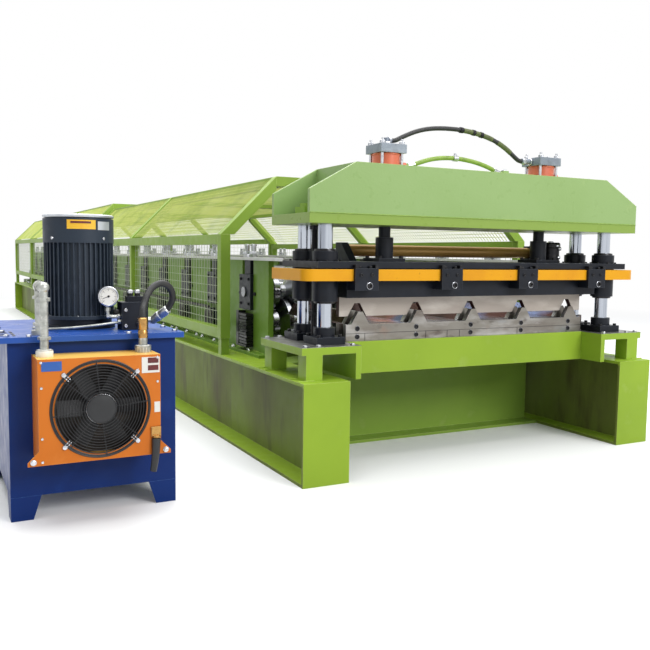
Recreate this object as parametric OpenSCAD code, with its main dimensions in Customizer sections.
// Roll forming machine for trapezoidal roof sheet, with its hydraulic cut-off shear and power unit.
// X runs across the machine, Y along it towards the sheet's entry, Z up from the floor.
// The origin is the centre of the underside of the front cross member.

/* [Base frame] */
// Width over both side rails
base_w = 1850; // [1800:10:2000]
// Reach of the rails past the stand plates
rail_tail = 494; // [480:2:520]
// Height of the rails and cross members
rail_h = 400; // [360:5:450]
// Width of the rails' flanges
flange_w = 200; // [180:5:220]
// Thickness of the flanges
flange_t = 13; // [10:0.5:18]
// Thickness of the webs
web_t = 8; // [6:0.5:12]
// Thickness of the plates that close the rails' ends
end_plate_t = 12; // [8:1:16]
// Distance from the rails' front ends to the front cross member
cross_set = 542; // [500:2:580]
// Stations from one rear cross member to the next
cross_step = 4; // [2:1:5]
// Number of cross members under the roll former
cross_count = 4; // [2:1:4]

/* [Shear table] */
// Distance from the rails' front ends to the table plates
table_set = 50; // [40:1:60]
// Length of the table plates along the machine
table_len = 401; // [390:1:420]
// Thickness of the table plates
table_t = 30; // [24:1:36]
// Height of the posts under the table plates
post_h = 100; // [90:1:110]
// Width of the square posts
post_w = 70; // [60:1:80]
// Width of each table plate
table_w = 275; // [270:1:280]
// Thickness of the side plates
side_plate_t = 24; // [18:1:28]
// Distance from the rails' front ends to the shear beam
beam_set = 176; // [170:1:180]
// Depth of the shear beam along the machine
beam_d = 200; // [180:5:210]
// Height of the shear beam
beam_h = 134; // [120:2:150]

/* [Crown and columns] */
// From the rails' outer faces to the columns' axes
column_in = 167; // [160:1:175]
// Distance from the rails' front ends to the front columns
column_set = 164; // [160:1:168]
// Distance between the front and rear columns
column_pitch = 184; // [176:1:190]
// Diameter of the columns
column_d = 60; // [54:1:64]
// Free height of the columns between the table and the crown
column_h = 474; // [465:1:500]
// Side of the columns' square foot flanges
flange_foot_w = 124; // [110:1:140]
// Thickness of the column feet
flange_foot_t = 30; // [20:1:36]
// Diameter of the collars on the column feet
collar_d = 88; // [80:1:100]
// Height of the collars on the column feet
collar_h = 36; // [26:1:44]
// Diameter of the stop rod between the left columns
stop_rod_d = 28; // [20:1:30]
// How far each end of the crown is inside the rails' outer faces
crown_in = 54; // [50:1:60]
// Depth of the crown along the machine
crown_d = 357; // [340:1:370]
// Height of the crown
crown_h = 241; // [220:1:260]
// Height of the crown's upright ends below its chamfers
crown_end_h = 129; // [110:1:150]
// Width of the crown's chamfers
crown_chamfer = 202; // [180:2:220]
// Thickness of the crown's bottom plate
crown_base_t = 40; // [30:1:50]
// Thickness of the crown's other plates
crown_t = 18; // [12:1:24]

/* [Hydraulic cylinders] */
// Distance of the cylinders from the centre plane
cylinder_x = 428; // [400:2:450]
// Outer diameter of the barrels
barrel_d = 118; // [110:2:124]
// Bore of the barrels
barrel_bore = 62; // [62:1:80]
// Height of the barrels above the crown
barrel_h = 64; // [55:1:80]
// Side of the square end caps
cap_w = 125; // [122:1:134]
// Height of the end caps
cap_h = 36; // [30:1:44]
// Diameter of the piston rods
rod_d = 50; // [44:1:50]
// Diameter of the couplings at the rods' feet
coupling_d = 76; // [70:1:84]
// Height of the couplings
coupling_h = 88; // [80:1:96]
// Side of the couplings' foot plates
coupling_foot_w = 130; // [120:2:150]
// Thickness of the couplings' foot plates
coupling_foot_t = 14; // [10:1:20]
// Diameter of the hoses between the cylinders
cylinder_hose_d = 20; // [16:1:22]

/* [Crosshead] */
// Height of the crosshead's underside above the table
head_lift = 182; // [178:1:190]
// Height of the crosshead beam
head_h = 120; // [110:1:130]
// Depth of the crosshead beam along the machine
head_d = 250; // [230:5:260]
// How far the crosshead beam reaches past the throat at each end
head_over = 25; // [15:1:28]
// How far each end of the crosshead's plate is inside the rails' outer faces
head_plate_in = 99; // [90:1:103]
// Depth of the top plate
head_plate_d = 334; // [330:1:340]
// Thickness of the top plate
head_plate_t = 26; // [20:1:30]
// Outer diameter of the guide bushings
bushing_d = 104; // [94:1:112]
// Running clearance of the bushings on the columns, on the radius
bushing_gap = 0.06; // [0.02:0.01:0.1]
// Reach of the bushings above the top plate
bushing_rise = 40; // [30:1:50]
// Reach of the bushings below the crosshead beam
bushing_drop = 12; // [0:1:24]
// Height of the yellow bar
bar_h = 46; // [42:1:54]
// Thickness of the yellow bar
bar_t = 13; // [10:1:16]
// How far each end of the yellow bar is inside the rails' outer faces
bar_in = 37; // [34:1:42]
// Radius of the yellow bar's front corners
bar_r = 45; // [30:1:55]
// From the columns' centre line back to the ends of the yellow bar
bar_back = 136; // [110:1:160]
// Width of the clamps on the bar
clamp_w = 106; // [90:2:120]
// From the outer clamps to the crosshead beam's ends
clamp_end = 1; // [0:1:6]
// Diameter of the tube behind the crosshead
tube_d = 52; // [44:1:56]
// From the rails' outer faces to the ends of the tube behind the crosshead
tube_in = 407; // [400:1:430]

/* [Sheet profile and blades] */
// From the outer ribs' feet to the lower blades' ends
rib_end = 26; // [20:1:32]
// Ribs across the sheet
rib_count = 5; // [3:2:5]
// Height of a rib
rib_h = 52; // [30:1:54]
// Width of a rib at its foot
rib_foot_w = 84; // [76:1:92]
// Width of a rib at its top
rib_top_w = 22; // [16:1:30]
// Gap between the lower blades' ends and the table plates
blade_play = 2; // [1:0.5:4]
// How far the upper blade reaches past the throat at each end
blade_over = 15; // [5:1:18]
// Thickness of each blade
blade_t = 24; // [20:1:26]
// Gap between the upper blade and each lower blade
blade_gap = 6; // [5:0.5:8]
// Height of the lower blades up to the sheet's flat
lower_blade_h = 70; // [60:1:74]
// Opening between the blades when the shear is up
blade_open = 31; // [31:1:36]

// Length of the guide plate behind the blades
guide_len = 540; // [480:5:560]
// Thickness of the guide plate
guide_t = 3; // [2:0.5:4]
// From the lower blades' ends to the guide plate's edges
guide_in = 14; // [10:1:20]
// Width of the guide plate's feet
guide_foot_w = 24; // [16:1:26]
// Height of the guide plate's feet
guide_foot_h = 28; // [20:1:40]

/* [Roll former] */
// Distance from the rails' front ends to the first station
station_set = 981; // [960:1:1000]
// Distance from one station to the next
station_pitch = 490; // [470:2:496]
// Stations along the machine
station_count = 18; // [12:1:18]
// From the rails' outer faces to the stand plates
stand_set = 165; // [155:5:175]
// Thickness of the stand plates
stand_t = 26; // [20:1:30]
// Height of the stand plates above the rails
stand_h = 452; // [440:1:470]
// Length of the stand before the first station and after the last
stand_end = 255; // [235:1:270]
// Width of the foot flange along each stand plate
stand_foot_w = 90; // [80:1:100]
// Thickness of the foot flange
stand_foot_t = 15; // [10:1:20]
// Width of the slots for the upper bearing blocks
slot_w = 145; // [130:1:160]
// Height of the slots' floor above the rails
slot_floor = 212; // [208:1:230]
// Thickness of the bearing blocks
block_t = 60; // [50:1:70]
// Height of the bearing blocks
block_h = 170; // [165:1:180]
// Diameter of the lower bearing housings
housing_d = 120; // [110:1:140]
// Thickness of the lower bearing housings
housing_t = 28; // [20:1:32]
// Diameter of the roll shafts
shaft_d = 60; // [50:1:70]
// Diameter of the shafts' journals
journal_d = 50; // [40:1:50]
// Running clearance of the journals, on the radius
journal_gap = 0.06; // [0.02:0.01:0.1]
// Radius of the rolls on the sheet's flats
roll_r = 84; // [80:1:84]
// Gap between the upper and lower rolls for the sheet
sheet_gap = 2; // [1:0.5:4]
// From the stand plates' outer faces to the rolls' ends
roll_set = 110; // [105:1:120]
// Height of the sheet's flat above the rails
pass_h = 212; // [210:1:216]
// Width of the tie bars
tie_w = 90; // [80:1:100]
// Thickness of the tie bars
tie_t = 14; // [10:1:18]
// Overhang of the tie bars towards the shear
tie_reach = 236; // [200:2:240]
// Diameter of the adjusting screws
screw_d = 26; // [20:1:30]
// Height of the adjusting screws above the tie bars
screw_h = 62; // [50:1:75]
// Distance between the two adjusting screws of a block
screw_pitch = 84; // [76:1:96]
// Diameter of the sprockets
sprocket_d = 140; // [130:1:150]
// Thickness of the sprockets
sprocket_t = 12; // [8:1:14]
// Height of the chain's section
chain_h = 14; // [10:1:18]

/* [Entry table] */
// How far each side of the entry table is inside the throat
entry_in = 30; // [20:1:40]
// Reach of the entry table past the rails' far ends
entry_reach = 240; // [200:5:300]
// Thickness of the entry table's plate
entry_t = 10; // [8:1:16]
// Section of the entry table's bars
entry_bar = 50; // [40:2:60]

/* [Guard] */
// Distance from the rails' front ends to the guard
guard_set = 912; // [905:1:930]
// Section of the guard's tubes
guard_bar = 48; // [40:1:50]
// Free length of the rails behind the guard
guard_tail = 158; // [140:2:180]
// Gap between two sections of the guard
section_gap = 20; // [10:1:30]
// Height of the guard's bottom above the rails
guard_lift = 78; // [70:1:90]
// Height of the guard's upright sides
guard_side_h = 495; // [480:1:510]
// Rise from the eaves to the ridge bars, and their inward set
guard_rise = 284; // [270:1:300]
// Step up from the first section to the others
guard_step = 50; // [30:1:60]
// Distance between the bars of the mesh
mesh_pitch = 110; // [100:5:130]
// Distance between the bars of the flat roof mesh
roof_mesh_pitch = 220; // [200:5:240]
// Width of a mesh bar
mesh_bar = 8; // [6:1:10]
// Thickness of the mesh
mesh_t = 5; // [4:1:6]
// Side of the feet under the guard's posts
guard_foot_w = 40; // [36:1:46]

/* [Power unit] */
// From the rails' outer faces to the tank
tank_gap = 470; // [450:5:500]
// Width of the tank
tank_w = 550; // [520:5:600]
// Depth of the tank along the machine
tank_d = 620; // [560:5:680]
// Height of the tank's body
tank_h = 510; // [490:5:540]
// Distance from the rails' front ends to the tank
tank_set = 72; // [60:1:90]
// Thickness of the tank's walls
tank_wall = 6; // [4:0.5:8]
// Height of the tank's legs
leg_h = 80; // [70:1:90]
// Width of a leg at its foot
leg_foot_w = 70; // [60:1:80]
// Width of a leg at its top
leg_top_w = 96; // [90:1:104]
// Thickness of the tank's lid
lid_t = 19; // [15:1:24]
// Overhang of the tank's lid
lid_over = 25; // [20:1:30]
// Width of the oil cooler
cooler_w = 385; // [370:5:400]
// Height of the oil cooler
cooler_h = 335; // [330:5:345]
// Depth of the oil cooler
cooler_d = 142; // [130:1:150]
// Distance from the tank's outer side to the cooler
cooler_in = 73; // [60:1:90]
// Height of the cooler's underside above the tank's underside
cooler_up = 135; // [130:1:150]
// Thickness of the cooler's sheet metal
cooler_wall = 4; // [3:0.5:6]
// Diameter of the fan's opening
fan_hole_d = 290; // [280:2:300]
// Diameter of the fan
fan_d = 270; // [250:2:272]
// Diameter of the fan's hub
hub_d = 88; // [80:1:96]
// Diameter of the fan's shaft
fan_shaft_d = 16; // [12:1:20]
// Running clearance of the fan's hub on its shaft, on the radius
fan_gap = 0.05; // [0.02:0.01:0.1]
// Diameter of the fan guard
grille_d = 306; // [300:2:312]
// Wire diameter of the fan guard
grille_wire = 5; // [4:0.5:6]
// Diameter of the motor's body
motor_d = 242; // [232:2:250]
// Height of the motor's body
motor_h = 270; // [250:2:290]
// Depth of the motor's fins
fin_d = 11; // [8:1:14]
// Fins round the motor
fin_count = 40; // [24:4:44]
// Diameter of the motor's fan cowl
cowl_d = 246; // [242:1:256]
// Height of the motor's fan cowl
cowl_h = 98; // [85:1:110]
// Diameter of the flange under the motor
bell_d = 250; // [240:2:280]
// Height of the flange under the motor
bell_h = 35; // [30:1:45]
// Diameter of the steel return pipe
pipe_d = 27; // [24:1:34]
// Height of the return pipe above the lid
pipe_rise = 160; // [140:2:180]
// Diameter of the return hose
hose_d = 24; // [22:1:26]
// Diameter of the pressure gauge
gauge_d = 70; // [60:1:80]

/* [Hidden] */
$fn = 48;
green = [0.55, 0.72, 0.24];
black = [0.16, 0.18, 0.21];
steel = [0.72, 0.72, 0.70];
blue = [0.11, 0.25, 0.55];
orange = [0.88, 0.50, 0.18];
// Y of the rails' front ends
front = -cross_set - flange_w / 2;
rail_len = station_set + (station_count - 1) * station_pitch + stand_end + rail_tail;
// Widths and places that follow the base
stand_w = base_w - 2 * stand_set;
throat_w = base_w - 2 * table_w;
roll_w = stand_w - 2 * roll_set;
column_x = base_w / 2 - column_in;
crown_w = base_w - 2 * crown_in;
head_plate_w = base_w - 2 * head_plate_in;
bar_w = base_w - 2 * bar_in;
lower_blade_w = throat_w - 2 * blade_play;
upper_blade_w = throat_w + 2 * blade_over;
head_w = throat_w + 2 * head_over;
entry_w = throat_w - 2 * entry_in;
tank_x = base_w / 2 + tank_gap;
rib_pitch = (lower_blade_w - rib_foot_w - 2 * rib_end) / (rib_count - 1);
clamp_pitch = (head_w - clamp_w - 2 * clamp_end) / 3;
// Heights of the main levels
table_z = rail_h + post_h + table_t;
crown_z = table_z + column_h;
head_z = table_z + head_lift;
head_top = head_z + head_h;
plate_top = head_top + head_plate_t;
pass_z = rail_h + pass_h;
lower_axis_z = pass_z - sheet_gap / 2 - roll_r;
upper_axis_z = pass_z + sheet_gap / 2 + roll_r;
stand_top = rail_h + stand_h;
tank_z = leg_h + tank_h;
lid_z = tank_z + lid_t;
// Middle of the shear in Y
shear_y = front + column_set + column_pitch / 2;
// Y of the front lower blade's face
blade_y = front + beam_set + 8;
// Inner edges of the rails' flanges
throat_x = base_w / 2 - flange_w;
rib_x = [for (i = [0 : rib_count - 1]) (i - (rib_count - 1) / 2) * rib_pitch];
// Clearance between pieces that seat in each other
seat_gap = 0.3;
// Clearance round the piston rods and stop rod
rod_room = 6;
// Depth of the upper blade's seat in the crosshead beam
blade_seat = 40;
// Room round a rib in the upper blade
blade_room = 2;
upper_blade_y = blade_y + blade_t + blade_gap;
// Front face and underside of the yellow bar
bar_y = shear_y - head_plate_d / 2 - bar_t + 4;
bar_z = head_top - 4 - bar_h;
tube_len = base_w - 2 * tube_in;
// How far the table plates' outer edges and posts are inside the rails' outer faces
table_in = 15;
post_in = 33;
// X of the upper hose's fitting on the right cap
upper_hose_end = 306;
// From the rails' rear ends to the last cross member
cross_end = 400;
clamp_lip = 14;
// Axis of the tube behind the crosshead, and its brackets
tube_y = shear_y + 175;
tube_z = plate_top + 46;
bracket_t = 36;
stand_y = front + station_set - stand_end;
stand_len = (station_count - 1) * station_pitch + 2 * stand_end;
// The fan: its depth, its gap to the motor's face and its shaft's reach from the radiator
fan_h = 36;
fan_set = 46;
fan_shaft_l = 74;
// Reach of the return pipe from the cooler to the lid
pipe_back = 108;
// Routes of the hoses: X and Z in the cylinders' plane, then X, Y and Z
upper_route = [[-406, 1366], [-396, 1366], [-380, 1370], [-360, 1380], [-325, 1396], [-285, 1412],
    [-240, 1425], [-190, 1434], [-130, 1439], [-65, 1440], [0, 1436], [55, 1429], [105, 1419],
    [150, 1405], [190, 1388], [225, 1369], [255, 1349], [278, 1334], [294, 1327], [306, 1327]];
lower_route = [[-333, 1266], [-325, 1266], [-308, 1268], [-285, 1275], [-250, 1287], [-210, 1299],
    [-165, 1308], [-115, 1313], [-60, 1314], [-5, 1310], [45, 1303], [90, 1293], [130, 1281],
    [158, 1269], [178, 1262], [190, 1262]];
lower_hose_end = 190;
return_route = [[-1524, -632, 640], [-1524, -632, 660], [-1522, -627, 688], [-1511, -605, 712],
    [-1500, -592, 734], [-1484, -577, 755], [-1461, -564, 771], [-1435, -551, 777], [-1410, -538, 767],
    [-1393, -525, 746], [-1387, -511, 719], [-1393, -497, 695], [-1401, -488, 680], [-1407, -482, 672]];
// Bays in each section of the guard
sections = [2, 2, 1];
bay_len = (rail_len - guard_set - guard_tail - 2 * section_gap) / (sections * [1, 1, 1]);
tank_cx = -tank_x - tank_w / 2;
cooler_x = -tank_x - tank_w + cooler_in;
cooler_z = leg_h + cooler_up;
fan_x = cooler_x + cooler_w / 2;
fan_z = cooler_z + cooler_h / 2;
motor_x = tank_cx;
valve_x = motor_x + 113;
valve_w = 93;
// The elbow where the return hose's fitting meets the valve block
elbow = [valve_x + valve_w + 24, front + 192, lid_z + 33];
// Room between that fitting and the hose's slanted end
hose_seat = 4;
motor_y = front + 350;

function station_y(i) = front + station_set + i * station_pitch;
function section_y(k) = front + guard_set + (k == 0 ? 0
    : section_y(k - 1) - front - guard_set + sections[k - 1] * bay_len + section_gap);
function section_z(k) = rail_h + guard_lift + (k == 0 ? 0 : guard_step);

// A cuboid given by its low and high corners
module block(lo, hi) {
    translate(lo) cube(hi - lo);
}

// A rolled H section along Y, standing on Z = 0 and centred on X
module beam_y(length) {
    block([-flange_w / 2, 0, 0], [flange_w / 2, length, flange_t]);
    block([-flange_w / 2, 0, rail_h - flange_t], [flange_w / 2, length, rail_h]);
    block([-web_t / 2, 0, flange_t], [web_t / 2, length, rail_h - flange_t]);
}

// A cross member between the rails, centred on Y
module cross_member() {
    translate([-throat_x, 0, 0]) rotate([0, 0, -90]) beam_y(2 * throat_x);
}

module rail(side) {
    color(green) translate([side * (base_w - flange_w) / 2, front, 0]) {
        translate([0, end_plate_t, 0]) beam_y(rail_len - 2 * end_plate_t);
        block([-flange_w / 2, 0, 0], [flange_w / 2, end_plate_t, rail_h]);
        block([-flange_w / 2, rail_len - end_plate_t, 0], [flange_w / 2, rail_len, rail_h]);
    }
}

module front_cross_member() {
    color(green) cross_member();
}

module rear_cross_members() {
    color(green) {
        for (i = [1 : cross_count]) translate([0, station_y(i * cross_step) - station_pitch / 2, 0])
            cross_member();
        translate([0, front + rail_len - cross_end, 0]) cross_member();
    }
}

// Draws its children on the +X side, or mirrored on the -X side
module sided(side) {
    if (side > 0) children();
    else mirror([1, 0, 0]) children();
}

// The table plate over a rail, with its two posts and the plate that hangs inside
module table(side) {
    inner = throat_w / 2;
    outer = base_w / 2;
    under = table_z - table_t;
    color(green) sided(side) translate([0, front + table_set, 0]) {
        block([inner, 0, under], [outer - table_in, table_len, table_z]);
        block([inner, 0, table_z - beam_h], [inner + side_plate_t, table_len, under]);
        for (y = [0, table_len - post_w])
            block([outer - post_in - post_w, y, rail_h], [outer - post_in, y + post_w, under]);
    }
}

module shear_beam() {
    y = front + beam_set;
    color(green) block([-throat_w / 2, y, table_z - beam_h], [throat_w / 2, y + beam_d, table_z]);
}

// A rib's outline, with room around it
module rib_shape(room) {
    foot = rib_foot_w / 2 + room;
    top = rib_top_w / 2 + room;
    polygon([[-foot, 0], [foot, 0], [top, rib_h + room], [-top, rib_h + room]]);
}

// Stands a drawing in XZ at y and gives it a thickness towards +Y
module upright(y, thickness) {
    translate([0, y + thickness, 0]) rotate([90, 0, 0]) linear_extrude(thickness) children();
}

module lower_blade_shape() {
    translate([-lower_blade_w / 2, table_z]) square([lower_blade_w, lower_blade_h]);
    for (x = rib_x) translate([x, table_z + lower_blade_h]) rib_shape(0);
}

module lower_blades() {
    color(steel) for (y = [blade_y, blade_y + 2 * (blade_t + blade_gap)])
        upright(y, blade_t) lower_blade_shape();
}

// The ribbed plate that carries the sheet from the rolls to the blades, on a flange behind the rear blade
module guide_plate() {
    low = table_z + lower_blade_h - guide_t;
    y = blade_y + 3 * blade_t + 2 * blade_gap;
    half = lower_blade_w / 2 - guide_in;
    color("silver") {
        upright(y, guide_len) difference() {
            union() {
                translate([-half, low]) square([2 * half, guide_t]);
                for (x = rib_x) translate([x, low]) rib_shape(0);
            }
            for (x = rib_x) translate([x, low]) rib_shape(-guide_t);
        }
        for (x = rib_x) for (side = [-1, 1])
            block([x + side * rib_pitch / 2 - guide_foot_w / 2, y, low - guide_foot_h],
                [x + side * rib_pitch / 2 + guide_foot_w / 2, y + 4, low]);
    }
}

module upper_blade() {
    low = table_z + lower_blade_h + blade_open;
    color(steel) upright(upper_blade_y, blade_t) difference() {
        translate([-upper_blade_w / 2, low]) square([upper_blade_w, head_z + blade_seat - low]);
        for (x = rib_x) translate([x, low]) rib_shape(blade_room);
    }
}

// Puts its children at each of the four columns
module at_columns() {
    for (x = [-column_x, column_x]) for (y = [-0.5, 0.5])
        translate([x, shear_y + y * column_pitch, 0]) children();
}

// Puts its children at both cylinders
module at_cylinders() {
    for (x = [-cylinder_x, cylinder_x]) translate([x, shear_y, 0]) children();
}

module column_feet() {
    half = flange_foot_w / 2;
    color(black) at_columns() translate([0, 0, table_z]) difference() {
        union() {
            block([-half, -half, 0], [half, half, flange_foot_t]);
            cylinder(d = collar_d, h = flange_foot_t + collar_h);
        }
        translate([0, 0, -1]) cylinder(d = column_d + 2 * seat_gap, h = flange_foot_t + collar_h + 2);
    }
}

// The columns, with the nuts that hold them on top of the crown's base
module guide_columns() {
    color("silver") at_columns() {
        translate([0, 0, table_z]) cylinder(d = column_d, h = column_h);
        translate([0, 0, crown_z + crown_base_t]) {
            cylinder(d = column_d + 34, h = 34, $fn = 6);
            cylinder(d = column_d - 14, h = 50);
        }
    }
}

module stop_rod() {
    color(black) translate([-column_x, shear_y, table_z]) cylinder(d = stop_rod_d, h = column_h);
}

module crown_outline() {
    half = crown_w / 2;
    polygon([[-half, crown_base_t], [half, crown_base_t], [half, crown_end_h],
        [half - crown_chamfer, crown_h], [-half + crown_chamfer, crown_h], [-half, crown_end_h]]);
}

// The fabricated box that carries the cylinders: two outlined plates, a thick base, a top and ribs
module crown() {
    low = shear_y - crown_d / 2;
    high = shear_y + crown_d / 2;
    rib = crown_w / 2 - crown_chamfer - crown_t;
    color(green) translate([0, 0, crown_z]) difference() {
        union() {
            block([-crown_w / 2, low, 0], [crown_w / 2, high, crown_base_t]);
            upright(low, crown_t) crown_outline();
            upright(high - crown_t, crown_t) crown_outline();
            block([-rib - crown_t, low + crown_t, crown_h - crown_t],
                [rib + crown_t, high - crown_t, crown_h]);
            for (x = [-rib - crown_t / 2, -cylinder_x / 2, cylinder_x / 2, rib + crown_t / 2])
                block([x - crown_t / 2, low + crown_t, crown_base_t],
                    [x + crown_t / 2, high - crown_t, crown_h - crown_t]);
            block([lower_hose_end, shear_y - 16, crown_h], [lower_hose_end + 32, shear_y + 16, crown_h + 30]);
        }
        at_cylinders() translate([0, 0, -1]) cylinder(d = rod_d + 2 * rod_room, h = crown_base_t + 2);
        at_cylinders() translate([0, 0, crown_h - crown_t - 1]) cylinder(d = barrel_d + 4, h = crown_t + 2);
    }
}

module cylinder_barrels() {
    length = crown_h - crown_base_t + barrel_h;
    color([0.8, 0.36, 0.24]) at_cylinders() translate([0, 0, crown_z + crown_base_t]) difference() {
        union() {
            cylinder(d = barrel_d, h = length);
            translate([barrel_d / 2 - 6, 0, length - barrel_h + 21]) rotate([0, 90, 0])
                cylinder(d = 26, h = 101 - barrel_d / 2);
        }
        translate([0, 0, -1]) cylinder(d = barrel_bore, h = length + 2);
    }
}

// The square end caps with their tie rods, nuts and the ports of the upper hose
module cylinder_caps() {
    half = cap_w / 2;
    rod = half - 15;
    color([0.36, 0.38, 0.42]) at_cylinders() translate([0, 0, crown_z + crown_h]) {
        block([-half, -half, barrel_h], [half, half, barrel_h + cap_h]);
        for (x = [-rod, rod]) for (y = [-rod, rod]) translate([x, y, 0]) {
            cylinder(d = 11, h = barrel_h + cap_h + 20);
            translate([0, 0, barrel_h + cap_h]) cylinder(d = 24, h = 12, $fn = 6);
        }
    }
    color("silver") translate([0, shear_y, crown_z + crown_h + barrel_h]) {
        translate([-cylinder_x, 0, cap_h]) cylinder(d = 26, h = 30);
        translate([-cylinder_x, 0, cap_h + 21]) rotate([0, 90, 0]) cylinder(d = 24, h = 22);
        translate([upper_hose_end, 0, cap_h / 2]) rotate([0, 90, 0])
            cylinder(d = 24, h = cylinder_x - half + 2 - upper_hose_end);
    }
}

module piston_rods() {
    half = coupling_foot_w / 2;
    top = crown_z + crown_h + barrel_h - 20;
    color(black) at_cylinders() translate([0, 0, plate_top]) {
        block([-half, -half, 0], [half, half, coupling_foot_t]);
        cylinder(d = coupling_d, h = coupling_foot_t + coupling_h);
        cylinder(d = rod_d, h = top - plate_top);
    }
}

// A tube of ten sides swept along a route
function route_dir(p, i) = let (d = p[min(i + 1, len(p) - 1)] - p[max(i - 1, 0)]) d / norm(d);
function route_ring(p, i, r, side) =
    let (d = route_dir(p, i), u = cross(d, side) / norm(cross(d, side)), v = cross(u, d))
    [for (k = [0 : 9]) p[i] + r * (cos(36 * k) * u + sin(36 * k) * v)];

module swept(p, d, side) {
    rings = [for (i = [0 : len(p) - 1]) each route_ring(p, i, d / 2, side)];
    n = len(p);
    sides = [for (i = [0 : n - 2]) for (k = [0 : 9])
        [10 * i + k, 10 * i + (k + 1) % 10, 10 * i + 10 + (k + 1) % 10, 10 * i + 10 + k]];
    ends = [[for (k = [9 : -1 : 0]) k], [for (k = [0 : 9]) 10 * (n - 1) + k]];
    polyhedron(rings, concat(sides, ends));
}

module upper_hose() {
    color("dimgray") swept([for (p = upper_route) [p[0], shear_y, p[1]]], cylinder_hose_d, [0, 1, 0]);
}

module lower_hose() {
    color("olivedrab") swept([for (p = lower_route) [p[0], shear_y, p[1]]], cylinder_hose_d, [0, 1, 0]);
}

module crosshead_beam() {
    y = shear_y - head_d / 2;
    color(black) difference() {
        block([-head_w / 2, y, head_z], [head_w / 2, y + head_d, head_top]);
        block([-upper_blade_w / 2, upper_blade_y, head_z - 1],
            [upper_blade_w / 2, upper_blade_y + blade_t, head_z + blade_seat]);
    }
}

module crosshead_plate() {
    y = shear_y - head_plate_d / 2;
    color(black) difference() {
        block([-head_plate_w / 2, y, head_top], [head_plate_w / 2, y + head_plate_d, plate_top]);
        at_columns() translate([0, 0, head_top - 1])
            cylinder(d = bushing_d + 2 * seat_gap, h = head_plate_t + 2);
        translate([-column_x, shear_y, head_top - 1])
            cylinder(d = stop_rod_d + 2 * rod_room, h = head_plate_t + 2);
    }
}

module guide_bushings() {
    low = head_z - bushing_drop;
    high = plate_top + bushing_rise;
    color(black) at_columns() translate([0, 0, low]) difference() {
        cylinder(d = bushing_d, h = high - low);
        translate([0, 0, -1]) cylinder(d = column_d + 2 * bushing_gap, h = high - low + 2);
    }
}

// The plan of the yellow bar's outer or inner side, with rounded front corners
module bar_plan(inset, back) {
    half = bar_w / 2;
    translate([bar_r - half, bar_y + inset]) square([2 * (half - bar_r), back - bar_y - inset]);
    translate([inset - half, bar_y + bar_r]) square([2 * (half - inset), back - bar_y - bar_r]);
    for (x = [bar_r - half, half - bar_r]) translate([x, bar_y + bar_r]) circle(r = bar_r - inset);
}

// The flat bar round the crosshead's front and ends
module yellow_bar() {
    back = shear_y + bar_back;
    color("orange") translate([0, 0, bar_z]) linear_extrude(bar_h) difference() {
        bar_plan(0, back);
        bar_plan(bar_t, back + 1);
    }
}

module bar_clamps() {
    color(black) for (x = [-1.5, -0.5, 0.5, 1.5] * clamp_pitch) difference() {
        block([x - clamp_w / 2, bar_y - clamp_lip, bar_z - 37],
            [x + clamp_w / 2, shear_y - head_d / 2, head_top]);
        block([x - clamp_w / 2 - 1, bar_y, bar_z], [x + clamp_w / 2 + 1, bar_y + bar_t, bar_z + bar_h]);
    }
}

module rear_tube() {
    color([0.55, 0.33, 0.12]) translate([-tube_len / 2, tube_y, tube_z]) rotate([0, 90, 0])
        cylinder(d = tube_d, h = tube_len);
}

// The two brackets of the rear tube, and the round housing outside the right one
module tube_brackets() {
    color(black) {
        for (x = [-tube_len / 2 - bracket_t, tube_len / 2]) translate([x, tube_y, plate_top])
            rotate([90, 0, 90]) linear_extrude(bracket_t)
                polygon([[-100, 0], [28, 0], [28, 80], [-20, 80]]);
        translate([tube_len / 2 + bracket_t, tube_y, tube_z]) rotate([0, 90, 0]) {
            cylinder(d = 88, h = 70);
            translate([0, 0, 70]) cylinder(d = 62, h = 40);
        }
    }
}

// A side wall of the roll stands, open at the top for the upper bearing blocks
module stand(side) {
    outer = stand_w / 2;
    color(green) sided(side) difference() {
        union() {
            block([outer - stand_t, stand_y, rail_h], [outer, stand_y + stand_len, stand_top]);
            block([outer - stand_t - 20, stand_y, rail_h],
                [outer - stand_t - 20 + stand_foot_w, stand_y + stand_len, rail_h + stand_foot_t]);
        }
        for (i = [0 : station_count - 1])
            block([outer - stand_t - 1, station_y(i) - slot_w / 2, rail_h + slot_floor],
                [outer + 1, station_y(i) + slot_w / 2, stand_top + 1]);
        translate([outer - stand_t - 1, station_y(0), lower_axis_z]) rotate([0, 90, 0])
            cylinder(d = shaft_d + 10, h = stand_t + 2);
    }
}

module bearing_blocks() {
    mid = stand_w / 2 - stand_t / 2;
    half = slot_w / 2 - seat_gap;
    low = rail_h + slot_floor;
    color(black) for (side = [-1, 1]) sided(side) for (i = [0 : station_count - 1])
        translate([mid, station_y(i), 0]) difference() {
            union() {
                block([-block_t / 2, -half, low], [block_t / 2, half, low + block_h]);
                block([-block_t / 4, -half / 2, low + block_h], [block_t / 4, half / 2, stand_top]);
            }
            if (i == 0) translate([-block_t, 0, upper_axis_z]) rotate([0, 90, 0])
                cylinder(d = journal_d + 2 * journal_gap, h = 2 * block_t);
        }
}

module lower_bearings() {
    color(black) for (side = [-1, 1]) sided(side) for (i = [0 : station_count - 1])
        translate([stand_w / 2, station_y(i), lower_axis_z]) rotate([0, 90, 0]) difference() {
            cylinder(d = housing_d, h = housing_t);
            if (i == 0) translate([0, 0, -1]) cylinder(d = journal_d + 2 * journal_gap, h = housing_t + 2);
        }
}

module tie_bars() {
    mid = stand_w / 2 - stand_t / 2;
    color("silver") for (side = [-1, 1]) sided(side)
        block([mid - tie_w / 2, stand_y - tie_reach, stand_top],
            [mid + tie_w / 2, stand_y + stand_len, stand_top + tie_t]);
}

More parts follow.
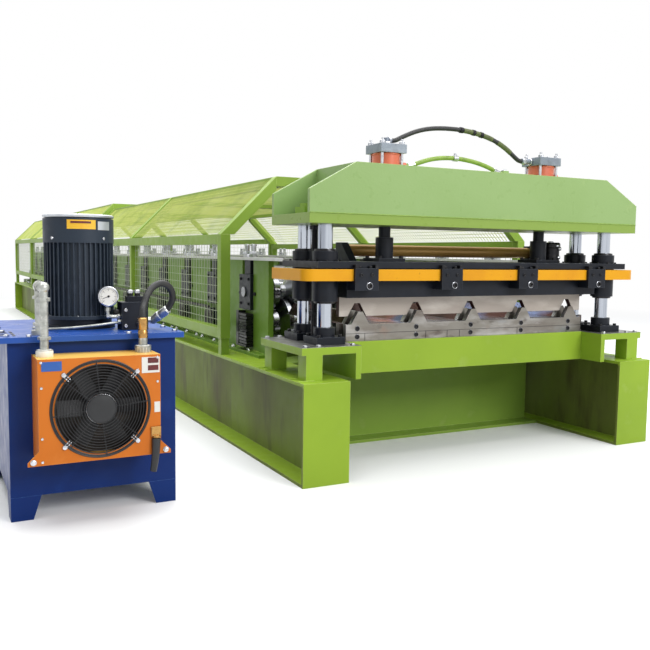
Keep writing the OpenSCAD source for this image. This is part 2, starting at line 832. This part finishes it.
module adjusting_screws() {
    mid = stand_w / 2 - stand_t / 2;
    color("silver") for (x = [-mid, mid]) for (i = [0 : station_count - 1]) for (y = [-0.5, 0.5])
        translate([x, station_y(i) + y * screw_pitch, stand_top + tie_t]) {
            cylinder(d = screw_d, h = screw_h);
            cylinder(d = screw_d + 16, h = 16, $fn = 6);
        }
}

// How far the sheet's ribs are formed at a station: fully at the outlet, hardly at the entry
function rib_share(i) = 1 - 0.9 * i / (station_count - 1);

// Half of a roll's outline, with ribs of height h above or below the flats, and its shaft's steps
function roll_points(h, steps) = concat(
    [for (i = [len(steps) - 1 : -1 : 0]) [steps[i][0], -steps[i][1]]],
    [[roll_r, -roll_w / 2]],
    [for (x = rib_x) each [[roll_r, x - rib_foot_w / 2], [roll_r + h, x - rib_top_w / 2],
        [roll_r + h, x + rib_top_w / 2], [roll_r, x + rib_foot_w / 2]]],
    [[roll_r, roll_w / 2]],
    [for (s = steps) s]);

module roll(h, steps) {
    rotate([0, 90, 0]) rotate_extrude() polygon(roll_points(h, steps));
}

function plain_ends(half) = [[shaft_d / 2, roll_w / 2], [shaft_d / 2, half], [0, half]];
function journal_ends(half, reach) = [[shaft_d / 2, roll_w / 2], [shaft_d / 2, half], [journal_d / 2, half],
    [journal_d / 2, reach], [0, reach]];

module upper_rolls() {
    half = stand_w / 2 - stand_t / 2 - block_t / 2;
    color("silver") for (i = [1 : station_count - 1]) translate([0, station_y(i), upper_axis_z])
        roll(-rib_h * rib_share(i), plain_ends(half));
}

module lower_rolls() {
    color("silver") for (i = [1 : station_count - 1]) translate([0, station_y(i), lower_axis_z])
        roll(rib_h * rib_share(i), plain_ends(stand_w / 2 - stand_t));
}

module outlet_upper_roll() {
    half = stand_w / 2 - stand_t / 2 - block_t / 2;
    color("silver") translate([0, station_y(0), upper_axis_z])
        roll(-rib_h, journal_ends(half - 1, half + block_t + 8));
}

module outlet_lower_roll() {
    half = stand_w / 2 - stand_t;
    color("silver") translate([0, station_y(0), lower_axis_z])
        roll(rib_h, journal_ends(half - 1, stand_w / 2 + housing_t + 8));
}

// The sprockets on the drive side and the chain that runs round them
module chain_drive() {
    x = -stand_w / 2 - housing_t - sprocket_t;
    run = station_y(station_count - 1) - station_y(1);
    color(black) translate([x, station_y(1), lower_axis_z]) rotate([90, 0, 90]) {
        linear_extrude(sprocket_t) for (i = [0 : station_count - 2])
            translate([i * station_pitch, 0]) circle(d = sprocket_d);
        translate([0, 0, 1]) linear_extrude(sprocket_t - 2) difference() {
            long_round(sprocket_d / 2 + seat_gap + chain_h, run);
            long_round(sprocket_d / 2 + seat_gap, run);
        }
    }
}

module long_round(r, run) {
    translate([0, -r]) square([run, 2 * r]);
    for (x = [0, run]) translate([x, 0]) circle(r);
}

module entry_table() {
    half = entry_w / 2;
    near = stand_y + stand_len + 40;
    far = front + rail_len + entry_reach;
    under = pass_z - 1 - entry_t;
    color("silver") {
        block([-half, near, under], [half, far, under + entry_t]);
        for (x = [-half, half - entry_bar]) block([x, near, under - entry_bar], [x + entry_bar, far, under]);
        for (y = [near, front + rail_len - 2 * entry_bar]) {
            block([-throat_x - 80, y, rail_h], [throat_x + 80, y + entry_bar, rail_h + entry_bar]);
            for (x = [-half, half - entry_bar])
                block([x, y, rail_h + entry_bar], [x + entry_bar, y + entry_bar, under - entry_bar]);
        }
    }
}

// Y of hoop j in section k of the guard
function hoop_y(k, j) = section_y(k) + j * (sections[k] * bay_len - guard_bar) / sections[k];

// Puts its children at each hoop of the guard, $lift above the rails
module at_hoops() {
    for (k = [0 : len(sections) - 1]) for (j = [0 : sections[k]]) {
        $lift = section_z(k) - rail_h;
        translate([0, hoop_y(k, j), section_z(k)]) children();
    }
}

// Runs a shape of the given length through each bay; the child is drawn from y = 0
module at_bays() {
    for (k = [0 : len(sections) - 1]) for (j = [0 : sections[k] - 1])
        translate([0, hoop_y(k, j) + guard_bar, section_z(k)]) {
            $clear = hoop_y(k, j + 1) - hoop_y(k, j) - guard_bar;
            children();
        }
}

module guard_posts() {
    outer = base_w / 2;
    color(green) at_hoops() for (side = [-1, 1]) sided(side) {
        block([outer - guard_bar, 0, 0], [outer, guard_bar, guard_side_h]);
        translate([outer - guard_bar / 2, guard_bar / 2, 0])
            block([-guard_foot_w / 2, -guard_foot_w / 2, -$lift], [guard_foot_w / 2, guard_foot_w / 2, 0]);
    }
}

// The tubes that run along each bay: at the bottom, the eaves and the ridges
module guard_rails() {
    outer = base_w / 2;
    ridge = outer - guard_rise;
    high = guard_side_h + guard_rise;
    color(green) for (side = [-1, 1]) sided(side) at_bays() {
        for (z = [0, guard_side_h - guard_bar])
            block([outer - guard_bar, 0, z], [outer, $clear, z + guard_bar]);
        block([ridge - guard_bar, 0, high - guard_bar], [ridge, $clear, high]);
    }
}

module guard_slopes() {
    outer = base_w / 2;
    slant = guard_bar * sqrt(2);
    color(green) for (side = [-1, 1]) sided(side) at_hoops() upright(0, guard_bar)
        polygon([[outer - slant, guard_side_h], [outer, guard_side_h],
            [outer - guard_rise, guard_side_h + guard_rise],
            [outer - guard_rise, guard_side_h + guard_rise - slant]]);
}

module guard_top_bars() {
    ridge = base_w / 2 - guard_rise;
    high = guard_side_h + guard_rise;
    color(green) at_hoops() block([-ridge, 0, high - guard_bar], [ridge, guard_bar, high]);
}

// A flat panel of mesh with its corner at the origin, whole cells in both directions
module mesh_panel(w, h, pitch) {
    nx = max(1, round(w / pitch));
    ny = max(1, round(h / pitch));
    dx = (w - mesh_bar) / nx;
    dy = (h - mesh_bar) / ny;
    linear_extrude(mesh_t) difference() {
        square([w, h]);
        for (i = [0 : nx - 1]) for (j = [0 : ny - 1])
            translate([mesh_bar + i * dx, mesh_bar + j * dy]) square([dx - mesh_bar, dy - mesh_bar]);
    }
}

module side_mesh(side) {
    x = base_w / 2 - guard_bar / 2 - mesh_t / 2;
    color("palegreen") sided(side) at_bays() translate([x, 0, guard_bar]) rotate([90, 0, 90])
        mesh_panel($clear, guard_side_h - 2 * guard_bar, mesh_pitch);
}

module roof_mesh_sides() {
    depth = guard_bar / sqrt(2);
    slope = (guard_rise - depth) * sqrt(2) - 2 * mesh_t;
    color("palegreen") for (side = [-1, 1]) sided(side) at_bays()
        translate([base_w / 2 - depth, 0, guard_side_h])
        rotate([0, -135, 0]) translate([mesh_t, 0, -mesh_t / 2]) mesh_panel(slope, $clear, roof_mesh_pitch);
}

module roof_mesh_top() {
    ridge = base_w / 2 - guard_rise - guard_bar;
    z = guard_side_h + guard_rise - guard_bar / 2 - mesh_t / 2;
    color("palegreen") at_bays() translate([-ridge, 0, z]) mesh_panel(2 * ridge, $clear, roof_mesh_pitch);
}

module tank() {
    half = tank_w / 2;
    near = front + tank_set;
    far = near + tank_d;
    color(blue) difference() {
        block([tank_cx - half, near, leg_h], [tank_cx + half, far, tank_z]);
        block([tank_cx - half + tank_wall, near + tank_wall, leg_h + tank_wall],
            [tank_cx + half - tank_wall, far - tank_wall, tank_z + 1]);
    }
}

module leg_shape() {
    polygon([[0, 0], [leg_foot_w, 0], [leg_top_w, leg_h], [0, leg_h]]);
}

module tank_legs() {
    color(blue) translate([tank_cx, front + tank_set + tank_d / 2, 0])
        for (mx = [0, 1]) for (my = [0, 1]) mirror([mx, 0, 0]) mirror([0, my, 0])
            translate([-tank_w / 2, -tank_d / 2, 0]) {
                upright(0, tank_wall) leg_shape();
                translate([tank_wall, 0, 0]) rotate([0, 0, 90]) upright(0, tank_wall) leg_shape();
            }
}

module tank_lid() {
    color(blue) block([tank_cx - tank_w / 2 - lid_over, front + tank_set - lid_over, tank_z],
        [tank_cx + tank_w / 2 + lid_over, front + tank_set + tank_d + lid_over, lid_z]);
}

// Draws its children with the fan's centre as origin and Z pointing to the front
module at_fan(y) {
    translate([fan_x, front + y, fan_z]) rotate([90, 0, 0]) children();
}

module cooler_housing() {
    y = front + tank_set - cooler_d;
    back = front + tank_set;
    color(orange) {
        difference() {
            block([cooler_x, y, cooler_z], [cooler_x + cooler_w, back, cooler_z + cooler_h]);
            block([cooler_x + cooler_wall, y + cooler_wall, cooler_z + cooler_wall],
                [cooler_x + cooler_w - cooler_wall, back + 1, cooler_z + cooler_h - cooler_wall]);
            at_fan(tank_set - cooler_d + cooler_wall + 1) cylinder(d = fan_hole_d, h = cooler_wall + 2);
        }
        for (m = [0, 1]) translate([fan_x, 0, cooler_z]) mirror([m, 0, 0]) translate([cooler_w / 2, 0, 0])
            upright(y, cooler_wall) difference() {
                polygon([[0, 0], [34, 0], [34, 12], [0, 46]]);
                translate([20, 13]) circle(d = 11);
            }
    }
}

// The radiator block with the fan's motor and shaft
module cooler_core() {
    room = cooler_wall + seat_gap;
    back = front + tank_set;
    color("dimgray") {
        block([cooler_x + room, back - 40, cooler_z + room],
            [cooler_x + cooler_w - room, back - 6, cooler_z + cooler_h - room]);
        at_fan(tank_set - 40) {
            cylinder(d = 84, h = 40);
            cylinder(d = fan_shaft_d, h = fan_shaft_l);
        }
    }
}

module cooler_fan() {
    color(black) at_fan(tank_set - 40 - fan_set) difference() {
        union() {
            cylinder(d = hub_d, h = fan_h);
            for (i = [0 : 5]) rotate([0, 0, 60 * i]) translate([hub_d / 2 - 6, 0, fan_h / 2])
                rotate([28, 0, 0]) translate([0, -28, -1.5]) cube([(fan_d - hub_d) / 2 + 4, 56, 3]);
        }
        translate([0, 0, -1]) cylinder(d = fan_shaft_d + 2 * fan_gap, h = fan_shaft_l - fan_set + 3);
    }
}

// A flat grille of rings and spokes on four stand-offs
module fan_guard() {
    rings = [0.4, 0.6, 0.8, 1];
    outer = grille_d / 2;
    color(black) at_fan(tank_set - cooler_d) {
        translate([0, 0, 8]) linear_extrude(grille_wire) {
            for (s = rings) difference() {
                circle(s * outer);
                circle(s * outer - grille_wire);
            }
            for (a = [0 : 90 : 270]) rotate(a) translate([0, -grille_wire / 2])
                square([outer - grille_wire / 2, grille_wire]);
            circle(d = hub_d - 8);
        }
        for (a = [45 : 90 : 315]) rotate([0, 0, a]) block([outer - 8, -8, 0], [outer + 8, 8, 11]);
    }
}

module pump_bell() {
    color(black) translate([motor_x, motor_y, lid_z]) {
        cylinder(d = bell_d, h = 12);
        cylinder(d = bell_d - 24, h = bell_h);
    }
}

module motor() {
    core = motor_d / 2 - fin_d;
    color([0.24, 0.27, 0.32]) translate([motor_x, motor_y, lid_z + bell_h]) {
        cylinder(r = core, h = motor_h);
        for (i = [0 : fin_count - 1]) rotate([0, 0, i * 360 / fin_count])
            block([core - 4, -2, 10], [motor_d / 2, 2, motor_h]);
        cylinder(d = motor_d + 8, h = 12);
        block([-52, core - 20, 90], [52, core + 58, 190]);
    }
}

module motor_cowl() {
    color([0.28, 0.31, 0.36]) translate([motor_x, motor_y, lid_z + bell_h + motor_h]) {
        cylinder(d = cowl_d, h = cowl_h - 12);
        cylinder(d = cowl_d - 16, h = cowl_h);
    }
}

module valve_block() {
    color(black) translate([valve_x, front + 170, lid_z]) {
        block([0, 0, 0], [valve_w, 76, 98]);
        block([24, 16, 98], [80, 62, 118]);
        for (i = [0, 1]) translate([38 + 26 * i, 38, 118]) cylinder(d = 20, h = 22);
        translate([64, 0, 22]) rotate([90, 0, 0]) cylinder(d = 26, h = 10);
    }
}

module pressure_gauge() {
    x = motor_x + 70;
    y = front + 200;
    color("silver") translate([x, y, lid_z]) {
        translate([0, 11, 119]) rotate([90, 0, 0]) cylinder(d = gauge_d, h = 24);
        translate([0, 0, 46]) cylinder(d = 12, h = 40);
        translate([0, 0, 46]) sphere(d = 12);
        translate([0, 0, 46]) rotate([0, 90, 0]) cylinder(d = 12, h = valve_x - x);
    }
}

// The steel return pipe, with the fittings of the pipe and of the hose on the cooler and the lid
module return_pipe() {
    top = cooler_z + cooler_h;
    high = lid_z + pipe_rise;
    reach = last_of(return_route) - elbow;
    color("silver") {
        translate([cooler_x + 31, front, top]) {
            cylinder(d = pipe_d + 24, h = 22);
            cylinder(d = pipe_d, h = high - top);
            translate([0, 0, high - top]) {
                sphere(d = pipe_d + 10);
                rotate([-90, 0, 0]) cylinder(d = pipe_d, h = pipe_back);
                translate([0, pipe_back, 0]) sphere(d = pipe_d + 10);
            }
            translate([0, pipe_back, lid_z - top]) {
                cylinder(d = pipe_d, h = pipe_rise);
                cylinder(d = pipe_d + 24, h = 16);
            }
        }
        translate([return_route[0][0], return_route[0][1], top]) {
            cylinder(d = hose_d + 30, h = 22);
            cylinder(d = hose_d + 6, h = return_route[0][2] - top);
        }
        translate(elbow) {
            sphere(d = hose_d + 6);
            rotate([0, -90, 0]) cylinder(d = hose_d - 4, h = elbow[0] - valve_x - valve_w);
            rotate([0, acos(reach[2] / norm(reach)), atan2(reach[1], reach[0])])
                cylinder(d = hose_d + 6, h = norm(reach) - hose_seat);
        }
    }
}

function last_of(list) = list[len(list) - 1];

module return_hose() {
    color(black) swept(return_route, hose_d, [-150, 116, 0]);
}

rail(-1);  // rail_left
rail(1);  // rail_right
front_cross_member();
rear_cross_members();
table(-1);  // table_left
table(1);  // table_right
shear_beam();
lower_blades();
guide_plate();
column_feet();
guide_columns();
stop_rod();
crown();
cylinder_barrels();
cylinder_caps();
piston_rods();
upper_hose();
lower_hose();
crosshead_beam();
crosshead_plate();
guide_bushings();
yellow_bar();
bar_clamps();
upper_blade();
rear_tube();
tube_brackets();
stand(-1);  // stand_left
stand(1);  // stand_right
bearing_blocks();
lower_bearings();
tie_bars();
adjusting_screws();
upper_rolls();
lower_rolls();
outlet_upper_roll();
outlet_lower_roll();
chain_drive();
entry_table();
guard_posts();
guard_rails();
guard_slopes();
guard_top_bars();
side_mesh(-1);  // side_mesh_left
side_mesh(1);  // side_mesh_right
roof_mesh_sides();
roof_mesh_top();
tank();
tank_legs();
tank_lid();
cooler_housing();
cooler_core();
cooler_fan();
fan_guard();
pump_bell();
motor();
motor_cowl();
valve_block();
pressure_gauge();
return_pipe();
return_hose();
